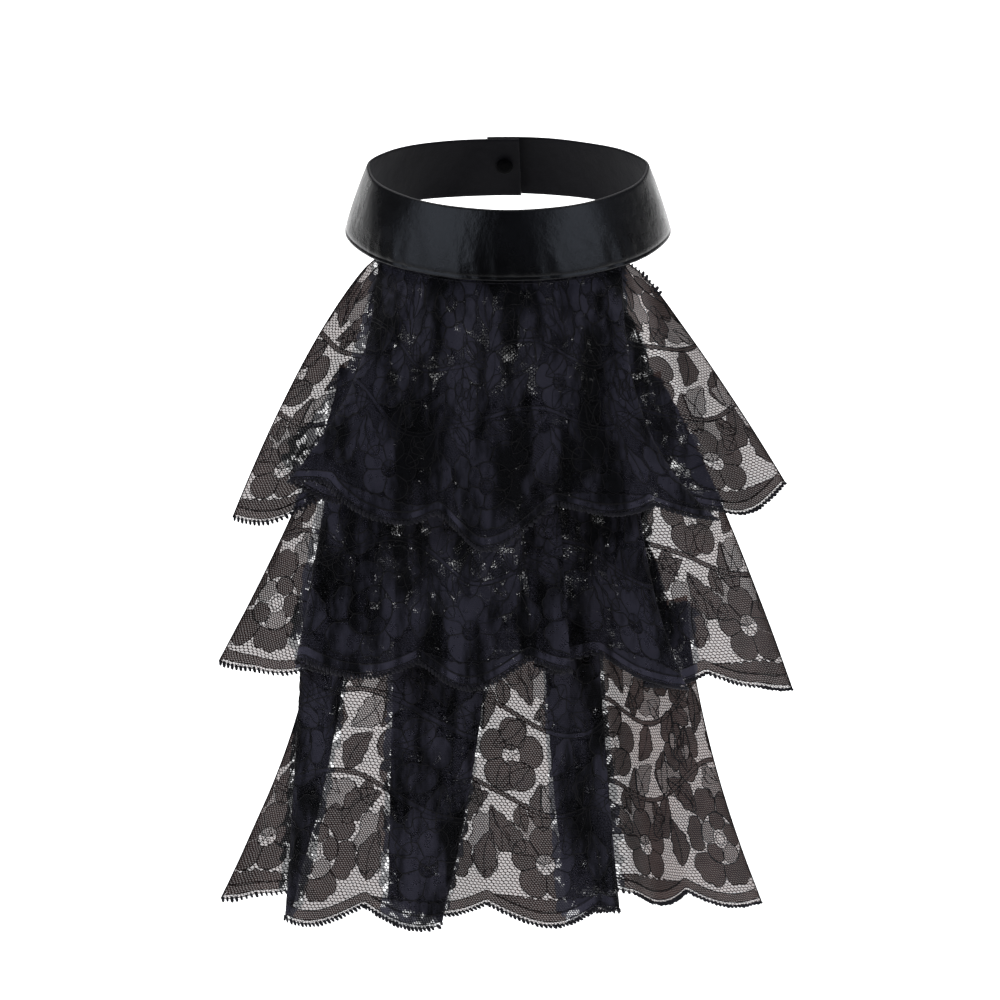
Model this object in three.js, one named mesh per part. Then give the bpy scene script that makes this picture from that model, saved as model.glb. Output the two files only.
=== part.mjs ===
import * as THREE from 'three';

// Lace jabot on a satin neck band. Millimetres, +Z up, the front faces -Y.
// The origin is the centre of the neck ring, halfway up the band.

// Driving dimensions: neck band
const bandHeight = 25.8;
const bandTopRadius = 55;
const bandBottomRadius = 64;
const bandSetBack = 12;
const bandWall = 1.3;
const innerEndX = 4.8;
const outerEndX = -8;
const lapGap = 1.9;
const lapEase = 0.7;
const bandColumns = 80;

// Driving dimensions: snap in the lap
const snapX = -1.2;
const snapZ = 0.6;
const capDiameter = 6.8;
const capHeight = 1.1;
const jointDiameter = 6.2;
const jointRoom = 0.48;
const capRoom = 0.46;

// Driving dimensions: lace
const wall = 1.0;
const seamGap = 0.62;
const pitch = 47;
const scallopDepth = 6.8;
const layerGap = 1.6;
const columnStep = 4.2;

// Driving dimensions: backing
const backingTop = -6;
const backingFoot = -161;

// Driving dimensions: ruffle seams, heights of the stitched lines
const topSeam = -14.4;
const middleSeam = -63;
const bottomSeam = -152;

// Sections of the backing: height, left and right edge, front depth, bend radius, depth of the bend
const backingRows = table(['z', 'left', 'right', 'front', 'radius', 'deepen'], [
  [-6, -42, 38, -53.2, 54.3, 1.2],
  [-13, -45, 41, -55.6, 56.7, 1.19],
  [-36, -56, 49, -57.5, 62, 1.1],
  [-63, -63, 55, -58.5, 72, 1],
  [-110, -64, 56, -60.5, 90, 1],
  [-161, -62, 61, -63, 108, 1],
]);

// Fold tables, one row per fold line from the left free end to the right one.
// flat: place along the lace; headX and layer: place at the seam, layer 0 at the back;
// hemX, hemY, hemZ: place at the hem; ease: how late the line swings out.
const foldColumns = ['flat', 'headX', 'layer', 'hemX', 'hemY', 'hemZ', 'ease'];

const topFolds = table(foldColumns, [
  [0, -48.5, 0, -107.5, -46, -115, 0.62],
  [20, -43, 0, -87, -54, -111, 0.8],
  [40, -34, 0, -67, -60, -103, 1.0],
  [48, -34, 1, -66, -67, -101, 1.0],
  [64, -45.5, 1, -80, -69, -93, 2.0],
  [72, -45.5, 2, -83, -76, -90, 2.0],
  [94, -36, 2, -62, -81, -97, 1.7],
  [118, -26, 2, -39, -88, -103, 1.0],
  [132, -18, 2, -25, -89, -103, 0.8],
  [155, -7, 2, -7, -100, -108, 0.7],
  [178, 6, 2, 20, -82, -101, 0.8],
  [202, 18, 2, 41, -79, -101, 1.0],
  [226, 30, 2, 61, -78, -103, 1.8],
  [240, 40, 2, 78, -74, -105, 2.6],
  [247, 40, 1, 79, -67, -106, 2.6],
  [262, 29, 1, 65, -62, -105, 2.0],
  [269, 29, 0, 64, -55, -106, 2.0],
  [294, 38, 0, 89, -50, -110, 0.85],
  [318, 44.5, 0, 111, -44, -105, 0.78],
]);

const middleFolds = table(foldColumns, [
  [0, -64, 0, -114, -47, -174, 1.3],
  [32, -53, 0, -81, -56, -178, 1.2],
  [48, -42, 0, -61, -62, -171, 1.2],
  [56, -42, 1, -60, -69, -169, 1.2],
  [74, -61, 1, -79, -72, -168, 1.3],
  [82, -61, 2, -80, -80, -166, 1.3],
  [104, -42, 2, -57, -84, -165, 1.2],
  [129, -25, 2, -35, -86, -165, 1.0],
  [153, -13, 2, -14, -94, -166, 0.8],
  [176, 1, 2, 9, -88, -163, 0.8],
  [190, 15, 2, 22, -90, -161, 1.0],
  [196, 15, 1, 22, -84, -163, 1.0],
  [206, 4, 1, 13, -81, -163, 1.0],
  [212, 4, 0, 13, -75, -165, 1.0],
  [224, 20, 0, 38, -77, -165, 1.0],
  [246, 35, 2, 54, -82, -167, 1.6],
  [262, 45, 2, 69, -79, -175, 2.4],
  [270, 45, 1, 70, -72, -179, 2.4],
  [286, 33, 1, 56, -68, -175, 1.8],
  [294, 33, 0, 56, -61, -177, 1.6],
  [322, 50, 0, 85, -55, -181, 0.9],
  [350, 58, 0, 112, -46, -185, 0.8],
]);

const bottomFolds = table(foldColumns, [
  [0, -73, 0, -114, -46, -273, 1.6],
  [24, -61, 0, -87, -52, -270, 1.5],
  [31, -61, 1, -85, -58, -269, 1.5],
  [38, -76, 1, -85, -64, -272, 1.6],
  [45, -76, 2, -86, -72, -272, 1.6],
  [78, -44, 2, -57, -82, -268, 1.4],
  [109, -8, 2, -29, -86, -269, 1.4],
  [115, -8, 1, -29, -79, -269, 1.4],
  [127, -42, 1, -44, -72, -269, 1.4],
  [133, -42, 0, -44, -65, -268, 1.4],
  [172, -10, 0, -8, -74, -270, 1.3],
  [200, 14, 2, 21, -79, -270, 1.3],
  [224, 33, 2, 41, -76, -270, 1.5],
  [231, 33, 1, 42, -69, -269, 1.5],
  [252, 15, 1, 26, -67, -267, 1.5],
  [259, 15, 0, 26, -61, -267, 1.5],
  [276, 36, 0, 50, -56, -268, 1.5],
  [290, 44, 0, 59, -63, -267, 1.5],
  [313, 55, 0, 72, -61, -270, 1.5],
  [346, 69, 0, 101, -50, -273, 1.55],
]);

// Ruffles: seam height, seam allowance, gather wave and place of the first scallop cusp
const ruffles = [
  { name: 'ruffle_top', folds: topFolds, seam: topSeam, allowance: 7, wave: 2.2, wavelength: 15, cusp: 36 },
  { name: 'ruffle_middle', folds: middleFolds, seam: middleSeam, allowance: 4, wave: 2.4, wavelength: 16, cusp: 35 },
  { name: 'ruffle_bottom', folds: bottomFolds, seam: bottomSeam, allowance: 4, wave: 1.6, wavelength: 17, cusp: 31 },
];
const waveReach = 46;
const springEase = 0.75;
const rowPlaces = [0, 0.35, 1, 0.07, 0.17, 0.3, 0.46, 0.64, 0.82, 1];

const satin = new THREE.MeshStandardMaterial({ color: 0x101114, roughness: 0.38, metalness: 0 });
const laceCloth = new THREE.MeshStandardMaterial({ color: 0x1d1a1f, roughness: 0.85, metalness: 0 });
const snapPlastic = new THREE.MeshStandardMaterial({ color: 0x0b0b0c, roughness: 0.45, metalness: 0 });

function table(columns, rows) {
  return rows.map((row) => Object.fromEntries(columns.map((name, index) => [name, row[index]])));
}

// A row of the backing table at any height
function carrierAt(z) {
  let next = backingRows.findIndex((row) => row.z <= z);
  if (next < 0) next = backingRows.length - 1;
  next = Math.max(1, next);
  const upper = backingRows[next - 1];
  const lower = backingRows[next];
  const share = THREE.MathUtils.clamp((upper.z - z) / (upper.z - lower.z), 0, 1);
  const mix = (name) => [name, THREE.MathUtils.lerp(upper[name], lower[name], share)];
  return Object.fromEntries(Object.keys(upper).map(mix));
}

// How deep the edge is cut in at a place along a scalloped edge
function scallopCut(place) {
  const share = THREE.MathUtils.euclideanModulo(place, pitch) / pitch;
  return scallopDepth * (1 - Math.sin(Math.PI * share));
}

// Closed wall of even thickness about a grid of points
function wallFromGrid(grid, thickness) {
  const columns = grid.length;
  const rows = grid[0].length;
  const at = (i, j) => grid[THREE.MathUtils.clamp(i, 0, columns - 1)][THREE.MathUtils.clamp(j, 0, rows - 1)];
  const positions = [];
  for (const side of [1, -1]) {
    for (let i = 0; i < columns; i++) {
      for (let j = 0; j < rows; j++) {
        const along = at(i + 1, j).clone().sub(at(i - 1, j));
        const down = at(i, j + 1).clone().sub(at(i, j - 1));
        const normal = along.cross(down).normalize().multiplyScalar(side * thickness / 2);
        positions.push(...at(i, j).clone().add(normal).toArray());
      }
    }
  }
  const front = (i, j) => i * rows + j;
  const back = (i, j) => columns * rows + i * rows + j;
  const faces = [];
  const quad = (a, b, c, d) => faces.push(a, b, c, a, c, d);
  for (let i = 0; i + 1 < columns; i++) {
    for (let j = 0; j + 1 < rows; j++) {
      quad(front(i, j), front(i + 1, j), front(i + 1, j + 1), front(i, j + 1));
      quad(back(i, j), back(i, j + 1), back(i + 1, j + 1), back(i + 1, j));
    }
    quad(front(i, 0), back(i, 0), back(i + 1, 0), front(i + 1, 0));
    quad(front(i, rows - 1), front(i + 1, rows - 1), back(i + 1, rows - 1), back(i, rows - 1));
  }
  for (let j = 0; j + 1 < rows; j++) {
    quad(front(0, j), front(0, j + 1), back(0, j + 1), back(0, j));
    quad(front(columns - 1, j), back(columns - 1, j), back(columns - 1, j + 1), front(columns - 1, j + 1));
  }
  const geometry = new THREE.BufferGeometry();
  geometry.setAttribute('position', new THREE.Float32BufferAttribute(positions, 3));
  geometry.setIndex(faces);
  geometry.computeVertexNormals();
  return geometry;
}

function meshOf(name, geometry, material) {
  const mesh = new THREE.Mesh(geometry, material);
  mesh.name = name;
  return mesh;
}

// Neck band: middle of the wall, by angle from the front and height above the centre
const bandMidRadius = (z) => {
  const share = (z + bandHeight / 2) / bandHeight;
  return THREE.MathUtils.lerp(bandBottomRadius, bandTopRadius, share) - bandWall / 2;
};

// Angles run clockwise seen from above, from the outer end over the right side to the inner end
const outerAngle = Math.PI - Math.asin(outerEndX / bandTopRadius);
const innerAngle = -Math.PI - Math.asin(innerEndX / bandTopRadius);
const lapShift = (lapGap + bandWall) / 2;

// The ring is egg-shaped from above: its widest place lies behind the middle
function ringPoint(angle, radius, z) {
  const depth = radius + bandSetBack * Math.sign(Math.cos(angle));
  return new THREE.Vector3(radius * Math.sin(angle), bandSetBack - depth * Math.cos(angle), z);
}

function bandShift(angle) {
  const toOuter = THREE.MathUtils.smoothstep(angle, Math.PI - lapEase, Math.PI - 0.05);
  const toInner = THREE.MathUtils.smoothstep(-angle, Math.PI - lapEase, Math.PI - 0.05);
  return lapShift * (toOuter - toInner);
}

function bandPoint(angle, z, offset) {
  const radius = bandMidRadius(z) + bandShift(angle) + offset;
  return ringPoint(angle, radius, z);
}

function neckBand() {
  const half = bandHeight / 2;
  const edge = 0.35;
  const ring = [
    [0.5, -half + edge], [0.5, half - edge], [0.22, half], [-0.22, half],
    [-0.5, half - edge], [-0.5, -half + edge], [-0.22, -half], [0.22, -half],
  ];
  const positions = [];
  const faces = [];
  for (let i = 0; i <= bandColumns; i++) {
    const angle = THREE.MathUtils.lerp(innerAngle, outerAngle, i / bandColumns);
    for (const [share, z] of ring) positions.push(...bandPoint(angle, z, share * bandWall).toArray());
  }
  const size = ring.length;
  for (let i = 0; i < bandColumns; i++) {
    for (let k = 0; k < size; k++) {
      const next = (k + 1) % size;
      const a = i * size + k;
      const b = i * size + next;
      const c = (i + 1) * size + next;
      const d = (i + 1) * size + k;
      faces.push(a, d, c, a, c, b);
    }
  }
  const last = bandColumns * size;
  for (let k = 1; k + 1 < size; k++) {
    faces.push(0, k, k + 1);
    faces.push(last, last + k + 1, last + k);
  }
  const geometry = new THREE.BufferGeometry();
  geometry.setAttribute('position', new THREE.Float32BufferAttribute(positions, 3));
  geometry.setIndex(faces);
  geometry.computeVertexNormals();
  return meshOf('neck_band', geometry, satin);
}

// Snap: round parts turned about a line square to the lap
function snapPart(name, profile, reach) {
  const slope = Math.atan((bandBottomRadius - bandTopRadius) / bandHeight);
  const geometry = new THREE.LatheGeometry(profile.map(([r, h]) => new THREE.Vector2(r, h)), 28);
  const mesh = meshOf(name, geometry, snapPlastic);
  const radius = bandMidRadius(snapZ) + reach;
  const angle = Math.PI - Math.asin(snapX / radius);
  const outward = new THREE.Vector3(
    Math.sin(angle) * Math.cos(slope), -Math.cos(angle) * Math.cos(slope), Math.sin(slope));
  mesh.quaternion.setFromUnitVectors(new THREE.Vector3(0, 1, 0), outward);
  mesh.position.copy(ringPoint(angle, radius, snapZ));
  mesh.updateMatrix();
  mesh.geometry.applyMatrix4(mesh.matrix);
  mesh.position.set(0, 0, 0);
  mesh.quaternion.identity();
  return mesh;
}

function capProfile(direction) {
  const radius = capDiameter / 2;
  const rows = [[0, 0], [radius, 0], [radius, 0.45], [radius - 0.5, 0.9], [radius - 1.4, capHeight], [0, capHeight]];
  return direction > 0 ? rows : rows.map(([r, h]) => [r, -h]).reverse();
}

function snapParts() {
  const seat = lapShift + bandWall / 2 + capRoom;
  const jointHalf = (lapGap - 2 * jointRoom) / 2;
  const radius = jointDiameter / 2;
  const joint = [[0, -jointHalf], [radius, -jointHalf], [radius, jointHalf], [0, jointHalf]];
  return [
    snapPart('snap_cap', capProfile(-1), -seat),
    snapPart('snap_joint', joint, 0),
    snapPart('snap_cap_outer', capProfile(1), seat),
  ];
}

// Backing: lace hung from the band, its scalloped edges down the two sides
function laceBacking() {
  const columns = 25;
  const rows = 45;
  const grid = [];
  for (let i = 0; i < columns; i++) {
    const column = [];
    const across = i / (columns - 1);
    for (let j = 0; j < rows; j++) {
      const z = THREE.MathUtils.lerp(backingTop, backingFoot, j / (rows - 1));
      const { left, right } = carrierAt(z);
      const x = THREE.MathUtils.lerp(left + scallopCut(z), right - scallopCut(z + pitch / 2), across);
      column.push(new THREE.Vector3(x, depthFromLift(x, z, 0), z));
    }
    grid.push(column);
  }
  return meshOf('lace_backing', wallFromGrid(grid, wall), laceCloth);
}

// Sideways place as the backing's bend sees it: past its sides the bend runs out flat
function bendX(x, radius) {
  const blend = 3;
  const start = 0.92 * radius - blend;
  const past = THREE.MathUtils.clamp(Math.abs(x) - start, 0, 2 * blend);
  return Math.min(Math.abs(x), start) + past - (past * past) / (4 * blend);
}

// Depth of a point that stands a given distance in front of the backing, and back again
function depthFromLift(x, z, lift) {
  const { front, radius, deepen } = carrierAt(z);
  const within = bendX(x, radius);
  return front + deepen * (radius - Math.sqrt((radius + lift) ** 2 - within * within));
}

function liftFromDepth(x, z, y) {
  const { front, radius, deepen } = carrierAt(z);
  return Math.hypot(bendX(x, radius), (front - y) / deepen + radius) - radius;
}

function easeOf(share, power) {
  const soft = 0.04;
  const raw = (value) => Math.pow(value + soft, power);
  return (raw(share) - raw(0)) / (raw(1) - raw(0));
}

// A fold line starts in its layer at the seam and swings out to its place at the hem
function foldPoint(ruffle, fold, share) {
  const drop = share > 0 ? share * (ruffle.seam - fold.hemZ) : share * ruffle.allowance;
  const z = ruffle.seam - drop;
  const seat = wall + seamGap + layerGap * fold.layer;
  const headX = fold.headX * (1 + seat / carrierAt(z).radius);
  const hemLift = liftFromDepth(fold.hemX, fold.hemZ, fold.hemY);
  const x = THREE.MathUtils.lerp(headX, fold.hemX, easeOf(Math.max(share, 0), fold.ease));
  const lift = THREE.MathUtils.lerp(seat, hemLift, easeOf(Math.max(share, 0), springEase));
  return new THREE.Vector3(x, lift, z);
}

// Smooth line through fold points that keeps to the longer run and rounds each turn
function smoothLine(points) {
  const runs = points.slice(1).map((point, index) => point.clone().sub(points[index]));
  const lengths = runs.map((run) => Math.hypot(run.x, run.y));
  const tangents = points.map((point, index) => {
    const before = runs[Math.max(index - 1, 0)].clone().multiplyScalar(lengths[Math.max(index - 1, 0)]);
    const after = runs[Math.min(index, runs.length - 1)].clone();
    after.multiplyScalar(lengths[Math.min(index, runs.length - 1)]);
    return before.add(after).normalize();
  });
  return (column) => {
    const k = THREE.MathUtils.clamp(Math.floor(column), 0, runs.length - 1);
    const t = column - k;
    const turn = 1.5 - 0.5 * tangents[k].dot(tangents[k + 1]);
    const reach = runs[k].length() * turn;
    const point = points[k].clone().multiplyScalar((1 + 2 * t) * (1 - t) * (1 - t));
    point.addScaledVector(points[k + 1], t * t * (3 - 2 * t));
    point.addScaledVector(tangents[k], reach * t * (1 - t) * (1 - t));
    point.addScaledVector(tangents[k + 1], reach * t * t * (t - 1));
    return point;
  };
}

// Gathers run in step through all layers, so that stacked layers never meet
function gatherDepth(ruffle, x, drop) {
  if (drop <= 0) return 0;
  const rise = THREE.MathUtils.smoothstep(drop, 0, 14);
  const fade = 1 - THREE.MathUtils.smoothstep(drop, 20, 20 + waveReach);
  return ruffle.wave * rise * fade * 0.5 * (1 - Math.cos(2 * Math.PI * x / ruffle.wavelength));
}

function rufflePoint(ruffle, column, share) {
  const line = smoothLine(ruffle.folds.map((fold) => foldPoint(ruffle, fold, share)));
  const { x, y: lift, z } = line(column);
  return new THREE.Vector3(x, depthFromLift(x, z, lift) - gatherDepth(ruffle, x, ruffle.seam - z), z);
}

function ruffleColumns(ruffle) {
  const columns = [];
  for (let k = 0; k + 1 < ruffle.folds.length; k++) {
    const length = ruffle.folds[k + 1].flat - ruffle.folds[k].flat;
    const steps = Math.max(3, Math.ceil(length / columnStep));
    for (let s = 0; s < steps; s++) columns.push(k + s / steps);
  }
  columns.push(ruffle.folds.length - 1);
  return columns;
}

function flatAt(ruffle, column) {
  const k = Math.min(Math.floor(column), ruffle.folds.length - 2);
  return THREE.MathUtils.lerp(ruffle.folds[k].flat, ruffle.folds[k + 1].flat, column - k);
}

function ruffleWall(ruffle) {
  const seamRows = rowPlaces.slice(0, 3).map((place) => place - 1);
  const fallRows = rowPlaces.slice(3);
  const slant = 104;
  const grid = ruffleColumns(ruffle).map((column) => {
    const cut = scallopCut(flatAt(ruffle, column) - ruffle.cusp) / slant;
    const shares = [...seamRows, ...fallRows.map((place) => place * (1 - cut))];
    return shares.map((share) => rufflePoint(ruffle, column, share));
  });
  return meshOf(ruffle.name, wallFromGrid(grid, wall), laceCloth);
}

const jabot = new THREE.Group();
jabot.name = 'jabot';
jabot.add(neckBand(), ...snapParts(), laceBacking());
for (const ruffle of ruffles) jabot.add(ruffleWall(ruffle));

export default jabot;
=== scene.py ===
import math

import bmesh
import bpy
import numpy as np
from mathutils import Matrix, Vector
from mathutils.bvhtree import BVHTree
from mathutils.geometry import delaunay_2d_cdt


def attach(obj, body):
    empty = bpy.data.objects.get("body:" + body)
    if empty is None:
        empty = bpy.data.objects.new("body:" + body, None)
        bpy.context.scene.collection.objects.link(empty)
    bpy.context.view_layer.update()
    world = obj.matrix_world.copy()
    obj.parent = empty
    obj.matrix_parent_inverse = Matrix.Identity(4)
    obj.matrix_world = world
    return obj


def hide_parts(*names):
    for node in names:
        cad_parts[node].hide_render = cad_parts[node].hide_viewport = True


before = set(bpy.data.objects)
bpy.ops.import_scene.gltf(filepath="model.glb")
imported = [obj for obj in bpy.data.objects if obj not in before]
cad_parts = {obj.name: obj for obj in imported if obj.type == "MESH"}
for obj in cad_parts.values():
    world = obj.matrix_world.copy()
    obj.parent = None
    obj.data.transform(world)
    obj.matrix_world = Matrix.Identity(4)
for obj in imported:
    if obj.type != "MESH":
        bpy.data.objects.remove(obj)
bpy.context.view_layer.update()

# Lace jabot on a satin neck band. Lengths here are in millimetres and become metres in the meshes.
mm = 0.001
scene = bpy.context.scene
print("stage: frame loaded")


def smoothstep(value, low, high):
    share = np.clip((value - low) / (high - low), 0, 1)
    return share * share * (3 - 2 * share)


def columns(*values):
    return np.stack(values, -1)


def meshFrom(name, points, faces=(), edges=(), smooth=True):
    mesh = bpy.data.meshes.new(name)
    mesh.from_pydata([tuple(p) for p in np.asarray(points) * mm], edges, faces)
    mesh.polygons.foreach_set("use_smooth", [smooth] * len(mesh.polygons))
    return mesh


def objectFrom(name, data):
    made = bpy.data.objects.new(name, data)
    scene.collection.objects.link(made)
    return made


def feed(tree, socket, value):  # links a socket, or sets it to a plain value
    if isinstance(value, bpy.types.NodeSocket):
        tree.links.new(value, socket)
    else:
        socket.default_value = value


def newNode(tree, kind, fed=None, **settings):  # fed: names or numbers of inputs, and what goes into them
    node = tree.nodes.new(kind)
    for key, value in settings.items():
        setattr(node, key, value)
    for key, value in (fed or {}).items():
        feed(tree, node.inputs[key], value)
    return node


def mathNode(tree, operation, *values, clamp=False):
    node = newNode(tree, "ShaderNodeMath", dict(enumerate(values)), operation=operation, use_clamp=clamp)
    return node.outputs[0]


def vectorNode(tree, operation, *values):
    node = newNode(tree, "ShaderNodeVectorMath", dict(enumerate(values)), operation=operation)
    return node.outputs["Value" if operation == "DOT_PRODUCT" else "Vector"]


def scaleNode(tree, vector, factor):
    node = newNode(tree, "ShaderNodeVectorMath", {0: vector, "Scale": factor}, operation="SCALE")
    return node.outputs["Vector"]


def rangeNode(tree, value, start, end, low=0.0, high=1.0, kind="SMOOTHSTEP"):
    fed = {"Value": value, "From Min": start, "From Max": end, "To Min": low, "To Max": high}
    return newNode(tree, "ShaderNodeMapRange", fed, interpolation_type=kind).outputs["Result"]


def noiseNode(tree, place, scale, dimensions="3D", **more):
    fed = {"Vector": place, "Scale": scale, **more}
    return newNode(tree, "ShaderNodeTexNoise", fed, noise_dimensions=dimensions)


def mappingNode(tree, place, scale, turn=0.0):
    fed = {"Vector": place, "Scale": scale, "Rotation": (0.0, 0.0, turn)}
    return newNode(tree, "ShaderNodeMapping", fed).outputs[0]


def colourMix(tree, factor, first, second):
    fed = {"Factor": factor, "A": first, "B": second}
    return newNode(tree, "ShaderNodeMix", data_type="RGBA", fed=fed).outputs["Result"]


def objectPlace(tree):
    return newNode(tree, "ShaderNodeTexCoord").outputs["Object"]


def flatPlace(tree):  # the place on the flat cut
    return newNode(tree, "ShaderNodeUVMap", uv_map="flat").outputs[0]


def attributeNode(tree, name):
    return newNode(tree, "ShaderNodeAttribute", attribute_name=name).outputs["Fac"]


socketKinds = {float: "Float", int: "Int", tuple: "Color"}


def addSockets(tree, way, sockets):  # names, each with its default value or its kind
    for name, value in sockets.items():
        kind = socketKinds.get(type(value), value)
        socket = tree.interface.new_socket(name=name, in_out=way, socket_type="NodeSocket" + kind)
        if kind != value:
            socket.default_value = value


def groupTree(name, kind, inputs, outputs):
    tree = bpy.data.node_groups.new(name, kind)
    addSockets(tree, "INPUT", inputs)
    addSockets(tree, "OUTPUT", outputs)
    return tree, tree.nodes.new("NodeGroupInput").outputs, tree.nodes.new("NodeGroupOutput").inputs


def groupNode(tree, group, **values):
    return newNode(tree, "ShaderNodeGroup", values, node_tree=group)


netLook = {
    "cellWidth": 1.68, "rowHeight": 1.04,  # one cell of the net
    "wobble": 0.10, "wobbleScale": 0.35, "wobbleReach": 6.0,
    "strongWay": 1.3, "weakWay": 0.8,  # threads that slant one way are thicker than the others
    "threadEdge": (1.25, 0.8),  # from clear to full, in half threads
    "layerTurn": 2.8,  # how sharply the painted see-through glow turns to painted shade where layers start to overlap
    "bump": (0.6, 0.00018),
}
# cell against the net's, half a thread in cells, loose fibre in the holes, the brightness of its painted
# see-through glow, the brightness of the painted shade where layers stack
netKinds = {
    "laceNet": (1.0, 0.108, 0.72, 1.15, 0.7),
    "laceFill": (0.68, 0.22, 0.92, 0.44, 1.3),
    "laceLight": (0.68, 0.17, 0.82, 0.72, 1.0),
    "laceBorder": (0.64, 0.21, 0.90, 0.62, 1.9),
    "laceLadder": (0.7, 0.10, 0.62, 1.4, 1.6),
}


def hexNetGroup():
    tree, given, out = groupTree(
        "hexNet", "ShaderNodeTree",
        {"Flat": "Vector", "Cell": 1.0, "Thread": 0.1, "Haze": 0.3, "Wobble": 0.1},
        {"Opacity": "Float", "Height": "Float", "Thread": "Float"})
    wide, tall = 0.5, 0.866  # half a cell and half two rows, where a cell is 1 wide
    perMetre = (1000 / netLook["cellWidth"], 1000 * tall / netLook["rowHeight"], 0.0)
    cells = vectorNode(tree, "MULTIPLY", given["Flat"], perMetre)
    cells = scaleNode(tree, cells, mathNode(tree, "DIVIDE", 1.0, given["Cell"]))
    noise = noiseNode(tree, cells, netLook["wobbleScale"], "2D", Detail=1.0)
    centred = vectorNode(tree, "SUBTRACT", noise.outputs["Color"], (0.5, 0.5, 0.5))
    reach = mathNode(tree, "MULTIPLY", given["Wobble"], netLook["wobbleReach"])
    place = vectorNode(tree, "ADD", cells, scaleNode(tree, centred, reach))
    ways = [((1.0, 0.0, 0.0), netLook["weakWay"]), ((wide, tall, 0.0), netLook["strongWay"]),
            ((-wide, tall, 0.0), netLook["weakWay"])]
    depths = []
    for start in ((0.0, 0.0, 0.0), (wide, tall, 0.0)):
        corner = vectorNode(tree, "ADD", place, start)
        corner = vectorNode(tree, "WRAP", corner, (wide, tall, 1.0), (-wide, -tall, -1.0))
        sides = []
        for way, thickness in ways:
            off = mathNode(tree, "ABSOLUTE", vectorNode(tree, "DOT_PRODUCT", corner, way))
            sides.append(mathNode(tree, "DIVIDE", mathNode(tree, "SUBTRACT", 0.5, off), thickness))
        depths.append(mathNode(tree, "MINIMUM", mathNode(tree, "MINIMUM", sides[0], sides[1]), sides[2]))
    share = mathNode(tree, "DIVIDE", mathNode(tree, "MAXIMUM", *depths), given["Thread"])
    thread = rangeNode(tree, share, *netLook["threadEdge"])
    hole = mathNode(tree, "SUBTRACT", 1.0, thread)
    seen = mathNode(tree, "MULTIPLY", hole, mathNode(tree, "SUBTRACT", 1.0, given["Haze"]))
    feed(tree, out["Opacity"], mathNode(tree, "SUBTRACT", 1.0, seen))
    feed(tree, out["Height"], mathNode(tree, "SUBTRACT", 1.0, share, clamp=True))
    feed(tree, out["Thread"], thread)
    return tree


def fibreToneGroup():
    tree, given, out = groupTree(
        "fibreTone", "ShaderNodeTree",
        {"Place": "Vector", "Scale": 60.0, "Dark": (0.01, 0.01, 0.01, 1), "Light": (0.03, 0.03, 0.03, 1),
         "Low": 0.32, "High": 0.68},
        {"Color": "Color", "Value": "Float"})
    noise = noiseNode(tree, given["Place"], given["Scale"], Detail=4.0, Roughness=0.62)
    share = rangeNode(tree, noise.outputs[0], given["Low"], given["High"])
    feed(tree, out["Color"], colourMix(tree, share, given["Dark"], given["Light"]))
    feed(tree, out["Value"], share)
    return tree


hexNet = hexNetGroup()
fibreTone = fibreToneGroup()


def newMaterial(name, roughness, specular):
    material = bpy.data.materials.new(name)
    material.use_nodes = True
    shader = material.node_tree.nodes["Principled BSDF"].inputs
    shader["Roughness"].default_value = roughness
    shader["Specular IOR Level"].default_value = specular
    return material, material.node_tree, shader


def addBump(tree, shader, height, strength, distance):
    bump = newNode(tree, "ShaderNodeBump", {"Height": height, "Strength": strength, "Distance": distance})
    feed(tree, shader["Normal"], bump.outputs["Normal"])


laceColours = {
    "deepDark": (0.0013, 0.0013, 0.0018), "deepLight": (0.0250, 0.0235, 0.0330),  # painted shade, dark to lit navy, where layers stack on layers
    "thinDark": (0.020, 0.0108, 0.0100), "thinLight": (0.040, 0.0230, 0.0208),  # threads of one layer, brown as a painted glow of light coming through them
    "hazeDark": (0.131, 0.079, 0.065), "hazeLight": (0.211, 0.134, 0.112),  # the loose fibre between them, light brown as painted light coming through it
}
mottle = {"scale": 90.0, "from": (0.32, 0.68)}
# painted fold shade: stretched noise gives darker troughs and lighter ridges in the stacked-layer tone, not
# tied to the folds' shape
foldShade = {"scale": 78.0, "from": (0.40, 0.60), "stretch": (1.0, 0.6, 0.24)}
sparkle = {  # spots where light comes through several layers
    "scale": 310.0, "detail": 1.5, "stretch": (1.0, 0.15, 1.0), "from": (0.60, 0.68), "to": (0.45, -0.69),
    "perLayer": 0.032, "perCrowd": 0.06,
}


def toned(name, factor=1.0):
    return (*(value * factor for value in laceColours[name]), 1)


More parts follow.
